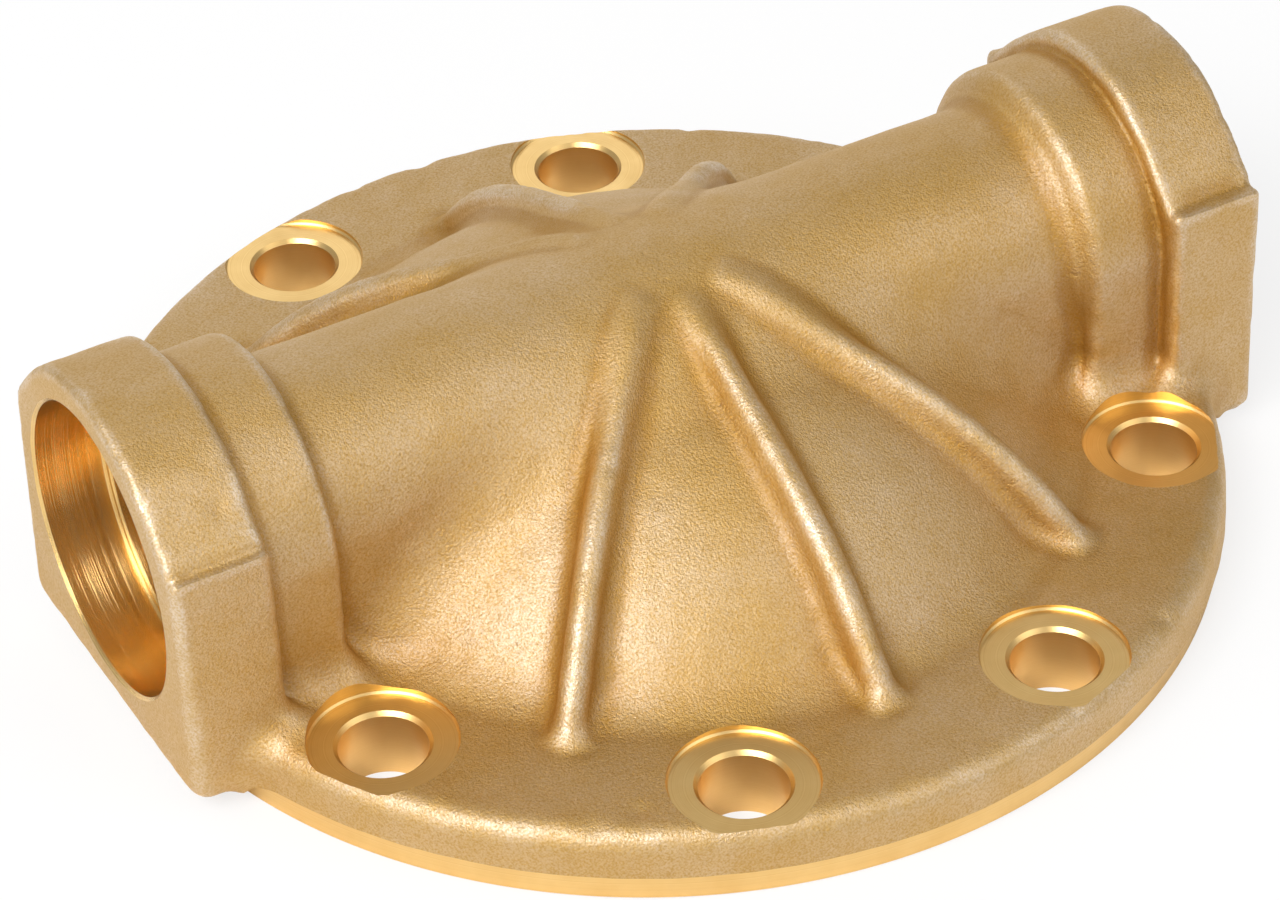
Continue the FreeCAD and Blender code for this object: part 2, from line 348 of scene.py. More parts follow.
def casting_distance(s, x, y, z):
    """Distance to the whole casting: tube, collars and bosses joined along X, with corners that are rounder the
    farther one is from them, then set on flange and dome with one fillet that gets smaller toward the ports,
    then the ribs."""
    ax, ay = np.abs(x), np.abs(y)
    into_boss = ax - s.boss_start - BOSS_OVERLAP
    tube = np.maximum(bar_distance(s, s.tube_radius, s.tube_draft, y, z), into_boss)
    collar = np.maximum(collar_distance(s, x, y, z), into_boss)
    over_top = np.where(x > 0, spanned(z, s.axis_height, WORN_SPAN), 0)
    step = s.step_root + (s.worn_step_root - s.step_root) * over_top
    clear = eased(np.minimum(tube, collar), 0, CORNER_SPREAD)
    tube = filleted(tube, collar, step + (s.foot_root - s.step_root) * clear)
    boss = boss_distance(s, x, y, z)
    clear = eased(np.minimum(tube, boss), 0, CORNER_SPREAD)
    ports = filleted(tube, boss, s.groove_root + (s.foot_root - s.groove_root) * clear)
    base = filleted(flange_distance(s, x, y, z), dome_distance(s, x, y, z), s.dome_root)
    root = s.tube_root + (s.collar_root - s.tube_root) * spanned(ax, s.collar_start, COLLAR_SPAN)
    root = root + (s.boss_root - s.collar_root) * spanned(ax, s.boss_start, BOSS_SPAN)
    body = filleted(base, ports, root)
    middle = math.pi / 2
    ribs = np.minimum(rib_distance(s, ax, ay, z, middle, s.middle_rib_lift),
                      rib_distance(s, ax, ay, z, middle - s.rib_spacing, s.side_rib_lift))
    middle_out = np.hypot(x, y)
    hub = 1 - eased(middle_out, *HUB_SPAN)
    toe = eased(middle_out, *TOE_SPAN)
    body = filleted(body, ribs, s.rib_root + (s.hub_root - s.rib_root) * hub + (s.toe_root - s.rib_root) * toe)
    return np.maximum(body, -ALLOWANCE - z)


def planes(low, high, step, places, tightness=0.5, reach=1.0 * MM):
    """Grid planes from low to high: evenly spaced in the running sum of a density that rises near each place."""
    t = np.linspace(low, high, 4000)
    density = np.full_like(t, 1 / step)
    for place in places:
        density += np.exp(-((t - place) / reach) ** 2) * tightness / step / (1 - tightness)
    total = np.concatenate([[0], np.cumsum((density[1:] + density[:-1]) / 2 * np.diff(t))])
    return np.interp(np.linspace(0, total[-1], int(round(total[-1])) + 1), total, t)


def net(grid, values):
    """Skin of the negative cells of a grid: one vertex in each cell that the zero level crosses, at the mean of
    its crossings, and one quad round each grid edge that changes sign."""
    shape = np.array(values.shape)
    inside = values < 0
    cells, points, quads = [], [], []
    for axis in range(3):
        first = [slice(None)] * 3
        second = [slice(None)] * 3
        first[axis] = slice(0, -1)
        second[axis] = slice(1, None)
        node = np.argwhere(inside[tuple(first)] != inside[tuple(second)])
        after = node.copy()
        after[:, axis] += 1
        a, b = values[tuple(node.T)], values[tuple(after.T)]
        crossing = np.stack([grid[k][node[:, k]] for k in range(3)], axis=1)
        crossing[:, axis] += (grid[axis][after[:, axis]] - crossing[:, axis]) * a / (a - b)
        ring = []
        for one, other in ((0, 0), (-1, 0), (-1, -1), (0, -1)):
            cell = node.copy()
            cell[:, (axis + 1) % 3] += one
            cell[:, (axis + 2) % 3] += other
            ring.append(np.ravel_multi_index(cell.T, shape))
            points.append(crossing)
        ring = np.stack(ring, axis=1)
        cells.append(ring.T.ravel())
        quads.append(np.where((a < 0)[:, None], ring, ring[:, ::-1]))
    used, index = np.unique(np.concatenate(cells), return_inverse=True)
    points = np.concatenate(points)
    count = np.bincount(index)
    vertices = np.stack([np.bincount(index, points[:, k]) / count for k in range(3)], axis=1)
    return vertices, np.searchsorted(used, np.concatenate(quads))


def gradient(s, p, step=0.01 * MM):
    """Slope of the casting's distance, from central differences."""
    slopes = []
    for k in range(3):
        shift = np.zeros(3)
        shift[k] = step
        slopes.append((casting_distance(s, *(p + shift).T) - casting_distance(s, *(p - shift).T)) / (2 * step))
    return np.stack(slopes, axis=1)


def settled(s, p, rounds):
    """Points moved onto the skin: each round goes down the distance along its slope."""
    for _ in range(rounds):
        slope = gradient(s, p)
        size = np.maximum(np.sum(slope * slope, axis=1, keepdims=True), 0.2)
        move = casting_distance(s, *p.T)[:, None] * slope / size
        p = p - np.clip(move, -s.cell, s.cell)
    return p


def relaxed(s, p, quads, rounds):
    """Points spread evenly over the skin: each round goes half way to the mean of its neighbours, then back."""
    ends = np.concatenate([quads[:, [k, (k + 1) % 4]] for k in range(4)])
    count = np.bincount(ends[:, 0], minlength=len(p)) + np.bincount(ends[:, 1], minlength=len(p))
    for _ in range(rounds):
        total = np.stack([np.bincount(ends[:, 0], p[ends[:, 1], k], len(p))
                          + np.bincount(ends[:, 1], p[ends[:, 0], k], len(p)) for k in range(3)], axis=1)
        p = settled(s, (p + total / count[:, None]) / 2, 1)
    return p


def roundness(s, p, sign, reach, full):
    """How edged (sign 1) or hollow (sign -1) the casting is at each point, from nothing to one: the mean of its
    distance at six points round the point, less the distance there, as a share of a full value."""
    here = casting_distance(s, *p.T)
    mean = np.zeros(len(p))
    for k in range(3):
        for way in (-1, 1):
            shift = np.zeros(3)
            shift[k] = way * reach
            mean += casting_distance(s, *(p + shift).T) / 6
    return np.clip(sign * (mean - here) / full, 0, 1)


def waves(p, spacing, seed, count=28):
    """Smooth unevenness about nothing: mean of plane waves in all directions, near one wave length."""
    draw = np.random.default_rng(seed)
    ways = draw.normal(size=(count, 3))
    ways *= (2 * math.pi / spacing * draw.uniform(0.7, 1.5, (count, 1))) / np.linalg.norm(ways, axis=1, keepdims=True)
    return np.sin(p @ ways.T + draw.uniform(0, 2 * math.pi, count)).sum(axis=1) / math.sqrt(count / 2)


def material(name):
    """Material of a name, made when it is first asked for."""
    return bpy.data.materials.get(name) or bpy.data.materials.new(name)


def new_object(name, vertices, faces, materials, slot=0):
    """Object at the origin from arrays of vertices and of equal-sided faces, all in one of its material slots."""
    mesh = bpy.data.meshes.new(name)
    for each in materials:
        mesh.materials.append(material(each))
    sides = faces.shape[1]
    mesh.vertices.add(len(vertices))
    mesh.vertices.foreach_set("co", np.asarray(vertices, dtype=np.float32).ravel())
    mesh.loops.add(faces.size)
    mesh.loops.foreach_set("vertex_index", faces.astype(np.int32).ravel())
    mesh.polygons.add(len(faces))
    mesh.polygons.foreach_set("loop_start", np.arange(0, faces.size, sides, dtype=np.int32))
    mesh.polygons.foreach_set("material_index", np.full(len(faces), slot, dtype=np.int32))
    mesh.update(calc_edges=True)
    mesh.validate()
    thing = bpy.data.objects.new(name, mesh)
    bpy.context.scene.collection.objects.link(thing)
    return thing


DENTS = (
    (3.3, 70.2, 8.6, 1.6, 0.7), (-6.9, 70, 8.6, 1.2, 0.45), (38.5, 58.5, 9, 1, 0.35), (35.9, -59.5, 10, 0.9, 0.35),
    (46.5, -53.3, 9.6, 0.8, 0.3), (16, -70.4, 7.4, 1.3, 0.3), (-34.4, -57.3, 10, 1.1, 0.35), (-40, -57, 9.4, 1.3, 0.3),
    (-68, 11, 46.4, 1.1, 0.25), (-66, -17.5, 40.5, 1.2, 0.3), (68, -12, 45.5, 1.6, 0.2), (74, -18.5, 38.5, 1.2, 0.3),
)


def dents(p):
    """Depth of the knocks that the casting has taken: a bell curve of the distance from each one's middle, its
    place, reach and depth given in millimetres."""
    depth = np.zeros(len(p))
    for x, y, z, reach, deep in DENTS:
        away = np.linalg.norm(p - np.array((x, y, z)) * MM, axis=1)
        depth += deep * MM * np.exp(-(away / (reach * MM)) ** 2)
    return depth


def cast_skin(s):
    """Casting as one closed skin, settled, spread and made uneven, kept within the frame's box."""
    margin = 3 * s.cell
    grid = [
        planes(-HIGH[0] - margin, HIGH[0] + margin, s.cell,
               [side * place for side in (-1, 1) for place in (HIGH[0] - 0.4 * MM, s.boss_start, s.collar_start)]),
        planes(-s.rim_radius - margin, s.rim_radius + margin, s.cell, []),
        planes(-ALLOWANCE - margin, HIGH[2] + margin, s.cell, [s.parting_height], reach=0.8 * MM),
    ]
    x, y, z = (g.astype(np.float32) for g in grid)
    values = casting_distance(s, x[:, None, None], y[None, :, None], z[None, None, :])
    values[values == 0] = -1e-9
    p, quads = net(grid, values)
    p = relaxed(s, settled(s, p, 2), quads, 3)
    p = settled(s, p, 2)
    slope = gradient(s, p)
    out = slope / np.maximum(np.linalg.norm(slope, axis=1, keepdims=True), 1e-9)
    uneven = s.swell * 0.5 * waves(p, SWELL_SPACING, 1) + s.ripple * waves(p, RIPPLE_SPACING, 2)
    worn = roundness(s, p, 1, 1.2 * MM, 0.22 * MM) * np.where(p[:, 0] > 0, 1.5, 1.0)
    chipped = s.wear * worn * np.clip(waves(p, CHIP_SPACING, 3) * 0.6 + waves(p, CHIP_PATCHES, 4) * 0.5, 0, 1.5)
    p = p + out * (uneven - s.swell * 0.5 - chipped - dents(p))[:, None]
    p = np.clip(p, (LOW[0], LOW[1], -ALLOWANCE), HIGH)
    return new_object("pump_head_casting", p, quads, BRASSES, CAST)


# Cutters


def lathe(name, profile, slot, turns=96):
    """Closed solid of revolution about Z: profile points (radius, height) carried round in equal steps, with a
    single point at each end on the axis."""
    profile = np.array(profile, dtype=float)
    angle = np.linspace(0, 2 * math.pi, turns, endpoint=False)
    ring = profile[1:-1]
    x = ring[:, :1] * np.cos(angle)
    y = ring[:, :1] * np.sin(angle)
    z = np.repeat(ring[:, 1:], turns, axis=1)
    body = np.stack([x, y, z], axis=2).reshape(-1, 3)
    vertices = np.concatenate([body, [(0, 0, profile[0, 1]), (0, 0, profile[-1, 1])]])
    i, j = np.meshgrid(np.arange(len(ring) - 1), np.arange(turns), indexing="ij")
    after = (j + 1) % turns
    side = np.stack([i * turns + j, i * turns + after, (i + 1) * turns + after, (i + 1) * turns + j], axis=-1)
    side = side.reshape(-1, 4)
    walls = np.concatenate([side[:, [0, 1, 2]], side[:, [0, 2, 3]]])
    start, end = len(body), len(body) + 1
    j = np.arange(turns)
    after = (j + 1) % turns
    last = (len(ring) - 1) * turns
    caps = np.concatenate([np.stack([np.full(turns, start), after, j], axis=1),
                           np.stack([np.full(turns, end), last + j, last + after], axis=1)])
    return new_object(name, vertices, np.concatenate([walls, caps]), BRASSES, slot)


def placed(thing, matrix):
    """Object with a transform written into its mesh."""
    thing.data.transform(matrix)
    return thing


def bolt_cutter(m, bearing):
    """Straight bolt hole with a broken edge above, and the spot-faced seat over it."""
    edge, deep, top = m.bolt_edge, -CUT_PAST, SEAT_TOP
    profile = [
        (0, deep), (m.bolt_radius, deep),
        (m.bolt_radius, m.seat_height - edge), (m.bolt_radius + edge, m.seat_height),
        (m.seat_radius - SEAT_RELIEF, m.seat_height), (m.seat_radius, m.seat_height + SEAT_RELIEF),
        (m.seat_radius, top), (0, top)]
    cutter = lathe("bolt_cutter", profile, SEAT, 72)
    place = Matrix.Rotation(bearing, 4, "Z") @ Matrix.Translation((m.bolt_circle, 0, 0))
    return placed(cutter, place)


def port_cutter(m, axis_height, side):
    """Stepped bore: broken edge, bore, shallow seat and passage, turned about the port axis."""
    edge, face, over = m.edge_break, HIGH[0], PORT_PAST
    bottom, ledge = face - m.bore_depth, face - m.ledge_depth
    profile = [
        (0, 0), (m.passage_radius, 0), (m.passage_radius, ledge - edge), (m.passage_radius + edge, ledge),
        (m.ledge_radius - BORE_RELIEF, ledge), (m.ledge_radius, ledge + BORE_RELIEF),
        (m.ledge_radius, bottom - SEAT_RELIEF), (m.ledge_radius + SEAT_RELIEF, bottom),
        (m.bore_radius - BORE_RELIEF, bottom), (m.bore_radius, bottom + BORE_RELIEF), (m.bore_radius, face - edge),
        (m.bore_radius + edge + over, face + over), (0, face + over)]
    cutter = lathe("port_cutter", profile, PORT, 160)
    place = Matrix.Translation((0, 0, axis_height)) @ Matrix.Rotation(side * math.pi / 2, 4, "Y")
    return placed(cutter, place)


def chamber_cutter(s, m):
    """Chamber: straight mouth, rounded into a sphere one wall inside the dome's."""
    inner = s.dome_radius - m.chamber_wall
    centre = s.dome_height - s.dome_radius
    corner = 5 * MM
    reach = m.chamber_radius - corner
    tilt = math.asin(reach / (inner - corner))
    height = centre + (inner - corner) * math.cos(tilt)
    round_off = np.linspace(0, math.pi / 2 - tilt, 6)
    roof = np.linspace(tilt, 0, 14)
    mouth = m.edge_break
    profile = [(0, -CUT_PAST), (m.chamber_radius + mouth + CUT_PAST, -CUT_PAST), (m.chamber_radius + mouth, 0),
               (m.chamber_radius, mouth)]
    profile += [(reach + corner * math.cos(t), height + corner * math.sin(t)) for t in round_off]
    profile += [(inner * math.sin(t), centre + inner * math.cos(t)) for t in roof[1:]]
    return lathe("chamber_cutter", profile, CHAMBER, 128)


def facing_cutter(s, m):
    """Joint face and turned band: a square channel carried round the flange, lower where a boss crosses it,
    over a disc below the joint face."""
    outer, low, edge = 84 * MM, -5 * MM, 0.3 * MM
    clear = s.foot_half_width + 0.1 * MM
    under = s.foot_height - 0.05 * MM
    quarter = math.asin(clear / m.band_radius)
    open_span = np.linspace(quarter, math.pi - quarter, 121)
    boss_span = np.linspace(math.pi - quarter, math.pi + quarter, 33)[1:-1]
    front = np.concatenate([open_span, boss_span])
    angle = np.concatenate([front, front + math.pi])
    tall = np.concatenate([np.ones(len(open_span)), np.zeros(len(boss_span))])
    top = np.where(np.concatenate([tall, tall]) > 0, m.band_height, under)
    rings = [(m.band_radius - edge, np.full_like(angle, 0.0)), (m.band_radius, np.full_like(angle, edge)),
             (m.band_radius, top), (outer, top), (outer, np.full_like(angle, low))]
    x = np.stack([radius * np.cos(angle) for radius, height in rings])
    y = np.stack([radius * np.sin(angle) for radius, height in rings])
    z = np.stack([height for radius, height in rings])
    turns = len(angle)
    body = np.stack([x, y, z], axis=2).reshape(-1, 3)
    vertices = np.concatenate([body, [(0, 0, 0), (0, 0, low)]])
    i, j = np.meshgrid(np.arange(len(rings) - 1), np.arange(turns), indexing="ij")
    after = (j + 1) % turns
    side = np.stack([i * turns + j, (i + 1) * turns + j, (i + 1) * turns + after, i * turns + after], axis=-1)
    side = side.reshape(-1, 4)
    j = np.arange(turns)
    after = (j + 1) % turns
    last = (len(rings) - 1) * turns
    caps = np.concatenate([np.stack([np.full(turns, len(body)), j, after], axis=1),
                           np.stack([np.full(turns, len(body) + 1), last + after, last + j], axis=1)])
    faces = np.concatenate([side[:, [0, 1, 2]], side[:, [0, 2, 3]], caps])
    return new_object("facing_cutter", vertices, faces, BRASSES, FACED)


def cut(piece, cutter):
    """Takes a closed cutter out of a closed piece and keeps the cutter's material slots on the new faces."""
    step = piece.modifiers.new("cut", "BOOLEAN")
    step.operation = "DIFFERENCE"
    step.solver = "MANIFOLD"
    step.material_mode = "INDEX"
    step.object = cutter
    graph = bpy.context.evaluated_depsgraph_get()
    before = piece.data
    piece.data = bpy.data.meshes.new_from_object(piece.evaluated_get(graph), depsgraph=graph)
    piece.modifiers.clear()
    bpy.data.meshes.remove(before)
    mesh = cutter.data
    bpy.data.objects.remove(cutter)
    bpy.data.meshes.remove(mesh)


def bearings(spacing, count):
    """Evenly spaced bearings centred behind the tube, and the same in front of it."""
    steps = [step - (count - 1) / 2 for step in range(count)]
    return [middle + spacing * step for middle in (math.pi / 2, -math.pi / 2) for step in steps]


# Node trees


class Flow:
    """A number that a node gives, so that sums, products and the like are written as they are read."""

    def __init__(self, tree, socket):
        self.tree = tree
        self.socket = socket

    def _math(self, operation, *values):
        node = self.tree.node("ShaderNodeMath", {"operation": operation}, dict(enumerate(values)))
        return Flow(self.tree, node.outputs[0])

    def __add__(self, other):
        return self._math("ADD", self, other)

    def __radd__(self, other):
        return self._math("ADD", other, self)

    def __sub__(self, other):
        return self._math("SUBTRACT", self, other)

    def __rsub__(self, other):
        return self._math("SUBTRACT", other, self)

    def __mul__(self, other):
        return self._math("MULTIPLY", self, other)

    def __rmul__(self, other):
        return self._math("MULTIPLY", other, self)

    def __abs__(self):
        return self._math("ABSOLUTE", self)

    def least(self, other):
        return self._math("MINIMUM", self, other)

    def most(self, other):
        return self._math("MAXIMUM", self, other)

    def reach(self, other):
        """Length of the two sides' long side."""
        return self._math("SQRT", self * self + other * other)

    def between(self, low, high):
        """Smooth step from nothing at low to one at high."""
        node = self.tree.node("ShaderNodeMapRange", {"interpolation_type": "SMOOTHSTEP"},
                              {"Value": self, "From Min": low, "From Max": high})
        return Flow(self.tree, node.outputs["Result"])


class Tree:
    """Node tree of a material or of the world."""

    def __init__(self, owner):
        owner.use_nodes = True
        self.nodes = owner.node_tree.nodes
        self.links = owner.node_tree.links
        self.nodes.clear()

    def node(self, kind, settings=None, sockets=None):
        """Node of a kind, with its settings made first and its sockets then given values or links."""
        node = self.nodes.new(kind)
        for name, value in (settings or {}).items():
            setattr(node, name, value)
        for name, value in (sockets or {}).items():
            target = node.inputs[name]
            if isinstance(value, Flow):
                value = value.socket
            if isinstance(value, bpy.types.NodeSocket):
                self.links.new(value, target)
            else:
                target.default_value = value
        return node

    def place(self):
        """Object coordinates, whole and as three numbers."""
        whole = self.node("ShaderNodeTexCoord").outputs["Object"]
        parts = self.node("ShaderNodeSeparateXYZ", None, {0: whole}).outputs
        return whole, [Flow(self, part) for part in parts]

    def noise(self, vector, spacing, detail=2.0, roughness=0.5):
        """Noise in three dimensions with its main spacing in metres."""
        node = self.node("ShaderNodeTexNoise", {"noise_dimensions": "3D"},
                         {"Vector": vector, "Scale": 1 / spacing, "Detail": detail, "Roughness": roughness})
        return Flow(self, node.outputs[0])

    def lines(self, number, spacing, detail=2.0, roughness=0.6):
        """Noise along one number, with its main spacing in metres."""
        node = self.node("ShaderNodeTexNoise", {"noise_dimensions": "1D"},
                         {"W": number, "Scale": 1 / spacing, "Detail": detail, "Roughness": roughness})
        return Flow(self, node.outputs[0])

    def attribute(self, name):
        node = self.node("ShaderNodeAttribute", {"attribute_name": name})
        return Flow(self, node.outputs["Fac"])

    def mix(self, factor, first, second):
        """Colour between two colours."""
        def shade(value):
            return value if isinstance(value, bpy.types.NodeSocket) else (*value, 1.0)
        node = self.node("ShaderNodeMix", {"data_type": "RGBA", "clamp_factor": True},
                         {0: factor, 6: shade(first), 7: shade(second)})
        return node.outputs[2]

    def bump(self, height, distance, strength=1.0, normal=None):
        sockets = {"Height": height, "Distance": distance, "Strength": strength}
        if normal is not None:
            sockets["Normal"] = normal
        return self.node("ShaderNodeBump", None, sockets).outputs[0]

    def metal(self, colour, roughness, normal):
        """Shader of a bare metal."""
        return self.node("ShaderNodeBsdfPrincipled", None, {
            "Base Color": colour, "Metallic": 1.0, "Roughness": roughness, "Normal": normal}).outputs[0]

    def blend(self, factor, first, second):
        """Shader between two shaders."""
        return self.node("ShaderNodeMixShader", None, {0: factor, 1: first, 2: second}).outputs[0]

    def surface(self, shader):
        self.node("ShaderNodeOutputMaterial", None, {"Surface": shader})


def cast_brass(finish, name, skin, patina_and_shade, size):
    """Blasted sand-cast skin: brass under a pale film that glints, bronze patina and painted shade in hollows, pale
    where it is rubbed.
    """
    t = Tree(material(name))
    where = t.place()[0]
    turned = t.node("ShaderNodeVectorRotate", {"rotation_type": "AXIS_ANGLE"},
                    {"Vector": where, "Axis": (0.48, 0.6, 0.64), "Angle": 0.9}).outputs[0]
    grain = t.noise(turned, size, 3.0, 0.7)
    peel = t.noise(turned, size * 2.4, 2.0, 0.55)
    cloud = t.noise(where, CLOUD_SPACING, 3.0, 0.6)
    patch = t.noise(where, PATCH_SPACING, 4.0, 0.65)
    fleck = t.noise(turned, size * 0.8, 1.0, 0.5)
    pit = t.noise(where, PIT_SPACING, 2.0, 0.6)
    hollow = t.attribute("hollow")
    edge = t.attribute("edge")
    rubbed = (edge * (patch * 1.6 - 0.15)).between(0.12, 0.85)
    mottled = t.mix((cloud - 0.5) * 1.3 + (patch - 0.5) * 0.7 + 0.15, skin, finish.worn)
    mottled = t.mix((fleck - 0.5) * -1.1 + 0.1, mottled, patina_and_shade)
    # Painted shade: hollows and corners darkened toward the dark patina colour, partly patina and partly painted shade
    mottled = t.mix(hollow.between(0.05, 0.9) * 0.7, mottled, patina_and_shade)
    mottled = t.mix(rubbed * 0.6, mottled, finish.worn)
    sunk = pit.between(0.7, 0.76)
    rough = t.bump(grain, GRAIN_HEIGHT, 1.0, t.bump(peel, PEEL_HEIGHT, 0.7))
    normal = t.bump(1 - sunk, PIT_DEPTH, 0.6, rough)
    glint = t.bump(grain, GLINT_HEIGHT, 1.0)
    film = (cloud - 0.5) * 0.16 + (patch - 0.5) * 0.1 + rubbed * 0.12 - hollow * 0.06
    film = (film + 0.12) * (fleck.between(0.2, 0.8) * 1.4 + 0.3)
    brass = t.metal(mottled, finish.cast_roughness + (patch - 0.5) * 0.12, normal)
    pale = t.metal((*finish.film, 1.0), finish.film_roughness, glint)
    t.surface(t.blend(film.most(0.01), brass, pale))


def cut_brass(finish, name, feed, roughness, rise, painted_light_in=None):
    """Brass cut by a tool that leaves rings: noise along the feed raises rings and streaks the colour, which is
    painted paler deep in a hole, as painted light that stands for light reflected in the hole."""
    t = Tree(material(name))
    where, place = t.place()
    number = feed(t, *place)
    rings = t.lines(number, RING_SPACING, 3.0, 0.75)
    broad = t.lines(number, BROAD_RING_SPACING, 2.0, 0.5)
    stain = t.noise(where, PATCH_SPACING, 3.0, 0.6)
    deep = tuple(c * k for c, k in zip(finish.cut, (0.82, 0.72, 0.55)))
    shade = t.mix((rings - 0.5) * 1.2 + (stain - 0.5) * 0.9 + 0.3, tuple(finish.cut), deep)
    if painted_light_in:
        # Painted light: deep in a hole the colour goes toward the paler hole colour
        shade = t.mix(painted_light_in(*place) * 0.6, shade, HOLE_PAINTED_LIGHT)
    normal = t.bump(rings, rise, 1.0, t.bump(broad, rise, 1.0))
    t.surface(t.metal(shade, roughness + (rings - 0.5) * 0.14 + (stain - 0.5) * 0.1, normal))


def seat_feed(m):
    """Distance from the nearest bolt's axis plus height, which runs across every ring that its tools leave."""
    def feed(t, x, y, z):
        spans = []
        for bearing in (math.radians(30), math.radians(70)):
            across = abs(x) - m.bolt_circle * math.cos(bearing)
            along = abs(y) - m.bolt_circle * math.sin(bearing)
            spans.append(across.reach(along))
        return spans[0].least(spans[1]) + z
    return feed


def port_feed(axis_height):
    """Distance from the port axis plus distance along it."""
    def feed(t, x, y, z):
        return y.reach(z - axis_height) + abs(x)
    return feed


def face_feed(t, x, y, z):
    """Distance from the flange's axis plus height."""
    return x.reach(y) + z


# Operators


def piece():
    found = bpy.data.objects.get("pump_head_casting")
    if found is None:
        raise RuntimeError("The casting has not been made")
    return found


class PUMPHEAD_OT_cast(bpy.types.Operator):
    """Makes the casting's skin: flange, dome, tube, collars, bosses and ribs in one"""
    bl_idname = "pumphead.cast"
    bl_label = "Cast the head"

    def execute(self, context):
        cast_skin(context.scene.pump_casting)
        return {"FINISHED"}


class PUMPHEAD_OT_machine(bpy.types.Operator):
    """Cuts the joint face, the chamber, the port bores and the bolt holes into the casting"""
    bl_idname = "pumphead.machine"
    bl_label = "Machine the head"

    def execute(self, context):
        s, m = context.scene.pump_casting, context.scene.pump_machining
        head = piece()
        cut(head, facing_cutter(s, m))
        cut(head, chamber_cutter(s, m))
        for side in (-1, 1):
            cut(head, port_cutter(m, s.axis_height, side))
        for bearing in bearings(s.rib_spacing, 4):
            cut(head, bolt_cutter(m, bearing))
        return {"FINISHED"}


class PUMPHEAD_OT_finish(bpy.types.Operator):
    """Measures the skin's hollows and edges, splits the shading at cut edges and puts the brass on"""
    bl_idname = "pumphead.finish"
    bl_label = "Finish the brass"

    def execute(self, context):
        s, m, finish = context.scene.pump_casting, context.scene.pump_machining, context.scene.pump_finish
        head = piece()
        mesh = head.data
        measure_skin(s, mesh)
        split_shading(mesh)
        cast_brass(finish, BRASSES[CAST], tuple(finish.cast), tuple(finish.patina_and_shade), finish.grain_size)
        cast_brass(finish, BRASSES[CHAMBER], tuple(finish.inside), tuple(finish.patina_and_shade), 1.6 * finish.grain_size)
        # Bolt holes: the walls below the seat are painted paler, painted light for light reflected in the hole
        cut_brass(finish, BRASSES[SEAT], seat_feed(m), finish.cut_roughness + 0.14, SEAT_RING_HEIGHT,
                  lambda x, y, z: 1 - z.between(m.seat_height - 0.6 * MM, m.seat_height - 0.4 * MM))
        cut_brass(finish, BRASSES[PORT], port_feed(s.axis_height), finish.cut_roughness + 0.03, PORT_RING_HEIGHT)
        cut_brass(finish, BRASSES[FACED], face_feed, finish.cut_roughness + 0.12, FACED_RING_HEIGHT)
        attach(head, "root")
        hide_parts("pump_head")
        return {"FINISHED"}


def measure_skin(s, mesh):
    """Writes how hollow and how edged the casting is at each vertex."""
    p = np.empty(len(mesh.vertices) * 3, dtype=np.float32)
    mesh.vertices.foreach_get("co", p)
    p = p.reshape(-1, 3).astype(float)
    for name, sign, reach, full in SKIN_MEASURES:
        layer = mesh.attributes.new(name, "FLOAT", "POINT")
        layer.data.foreach_set("value", roundness(s, p, sign, reach, full).astype(np.float32))


def split_shading(mesh, angle=math.radians(38)):
    """Smooth shading, split at steep edges and wherever two material slots meet."""
    mesh.polygons.foreach_set("use_smooth", np.ones(len(mesh.polygons), dtype=bool))
    mesh.set_sharp_from_angle(angle=angle)
    slots = np.empty(len(mesh.polygons), dtype=np.int32)
    mesh.polygons.foreach_get("material_index", slots)
    totals = np.empty(len(mesh.polygons), dtype=np.int32)
    mesh.polygons.foreach_get("loop_total", totals)
    edges = np.empty(len(mesh.loops), dtype=np.int32)
    mesh.loops.foreach_get("edge_index", edges)
    of_loop = np.repeat(slots, totals)
    low = np.full(len(mesh.edges), 99)
    high = np.full(len(mesh.edges), -1)
    np.minimum.at(low, edges, of_loop)
    np.maximum.at(high, edges, of_loop)
    sharp = np.empty(len(mesh.edges), dtype=bool)
    mesh.edges.foreach_get("use_edge_sharp", sharp)
    mesh.edges.foreach_set("use_edge_sharp", sharp | (low != high))
    mesh.update()


def area_light(name, place, target, size, power):
    """Rectangular soft light at a place, facing a target."""
    data = bpy.data.lights.new(name, "AREA")
    data.shape = "RECTANGLE"
    data.size, data.size_y = size
    data.energy = power
    light = bpy.data.objects.new(name, data)
    bpy.context.scene.collection.objects.link(light)
    back = np.array(place, dtype=float) - np.array(target, dtype=float)
    back /= np.linalg.norm(back)
    right = np.cross((0, 0, 1), back)
    right /= np.linalg.norm(right)
    up = np.cross(back, right)
    light.matrix_world = Matrix([[right[k], up[k], back[k], place[k]] for k in range(3)] + [[0, 0, 0, 1]])


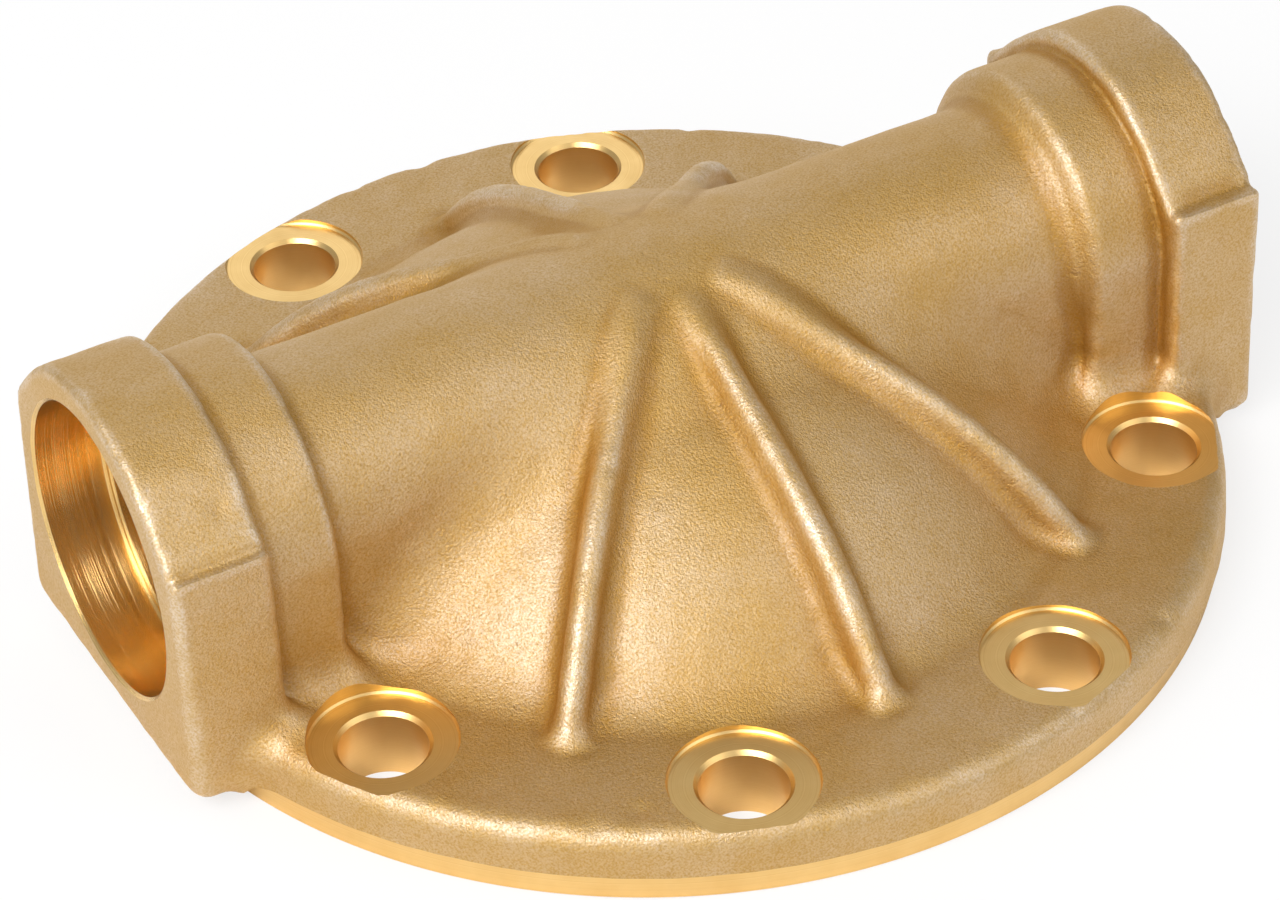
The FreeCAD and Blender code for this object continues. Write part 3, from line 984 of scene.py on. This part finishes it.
class PUMPHEAD_OT_stage(bpy.types.Operator):
    """Sets up the floor, the lights, the world and the camera"""
    bl_idname = "pumphead.stage"
    bl_label = "Set the stage"

    def execute(self, context):
        studio = context.scene.pump_studio
        scene = context.scene
        half = FLOOR_HALF
        corners = np.array([(-half, -half, 0), (half, -half, 0), (half, half, 0), (-half, half, 0)])
        floor = new_object("floor", corners, np.array([[0, 1, 2, 3]]), ("floor_white",))
        t = Tree(material("floor_white"))
        seen = Flow(t, t.node("ShaderNodeLightPath").outputs["Is Camera Ray"])
        paper = t.node("ShaderNodeBsdfDiffuse", None, {"Color": (*studio.floor, 1.0)})
        white = t.node("ShaderNodeEmission", None, {"Color": (1.0, 1.0, 1.0, 1.0), "Strength": 1.0})
        both = t.node("ShaderNodeMixShader", None, {
            0: seen * (1 - studio.shadow), 1: paper.outputs[0], 2: white.outputs[0]})
        t.node("ShaderNodeOutputMaterial", None, {"Surface": both.outputs[0]})

        world = bpy.data.worlds.new("studio")
        scene.world = world
        t = Tree(world)
        sky = t.node("ShaderNodeBackground", None, {"Color": (1.0, 1.0, 1.0, 1.0), "Strength": studio.sky})
        t.node("ShaderNodeOutputWorld", None, {"Surface": sky.outputs[0]})

        for name, place, size, power in LIGHTS:
            area_light(name, place, LIGHT_TARGET, size, power)

        camera = bpy.data.objects.new("camera", bpy.data.cameras.new("camera"))
        scene.collection.objects.link(camera)
        camera.matrix_world = photo_view()
        camera.data.sensor_width = SENSOR_WIDTH
        camera.data.lens = LENS
        camera.data.clip_start, camera.data.clip_end = CLIP
        scene.camera = camera
        scene.view_settings.view_transform = "Standard"
        return {"FINISHED"}


def photo_view():
    """Camera place and turn: azimuth, elevation and roll about the point of view."""
    azimuth, elevation, roll = (math.radians(a) for a in VIEW_ANGLES)
    back = np.array([math.sin(azimuth) * math.cos(elevation), -math.cos(azimuth) * math.cos(elevation),
                     math.sin(elevation)])
    right = np.array([math.cos(azimuth), math.sin(azimuth), 0.0])
    up = np.cross(back, right)
    turned_right = right * math.cos(roll) + up * math.sin(roll)
    turned_up = up * math.cos(roll) - right * math.sin(roll)
    eye = np.array(EYE) * MM
    return Matrix([[turned_right[k], turned_up[k], back[k], eye[k]] for k in range(3)] + [[0, 0, 0, 1]])


class PUMPHEAD_PT_panel(bpy.types.Panel):
    """Steps and settings of the pump head"""
    bl_label = "Pump head"
    bl_idname = "PUMPHEAD_PT_panel"
    bl_space_type = "VIEW_3D"
    bl_region_type = "UI"
    bl_category = "Pump head"

    def draw(self, context):
        for group, steps in (("pump_casting", (PUMPHEAD_OT_cast,)), ("pump_machining", (PUMPHEAD_OT_machine,)),
                             ("pump_finish", (PUMPHEAD_OT_finish,)), ("pump_studio", (PUMPHEAD_OT_stage,))):
            box = self.layout.box()
            settings = getattr(context.scene, group)
            for name in settings.bl_rna.properties.keys():
                if name not in ("rna_type", "name"):
                    box.prop(settings, name)
            for step in steps:
                box.operator(step.bl_idname)


GROUPS = (("pump_casting", CastingSizes), ("pump_machining", MachiningSizes), ("pump_finish", FinishSettings),
          ("pump_studio", StudioSettings))
CLASSES = (CastingSizes, MachiningSizes, FinishSettings, StudioSettings, PUMPHEAD_OT_cast, PUMPHEAD_OT_machine,
           PUMPHEAD_OT_finish, PUMPHEAD_OT_stage, PUMPHEAD_PT_panel)


def register():
    for cls in CLASSES:
        bpy.utils.register_class(cls)
    for name, group in GROUPS:
        setattr(bpy.types.Scene, name, bpy.props.PointerProperty(type=group))


def unregister():
    for name, group in GROUPS:
        delattr(bpy.types.Scene, name)
    for cls in reversed(CLASSES):
        bpy.utils.unregister_class(cls)


def main():
    register()
    bpy.ops.pumphead.cast()
    bpy.ops.pumphead.machine()
    bpy.ops.pumphead.finish()
    bpy.ops.pumphead.stage()


if __name__ == "__main__":
    main()
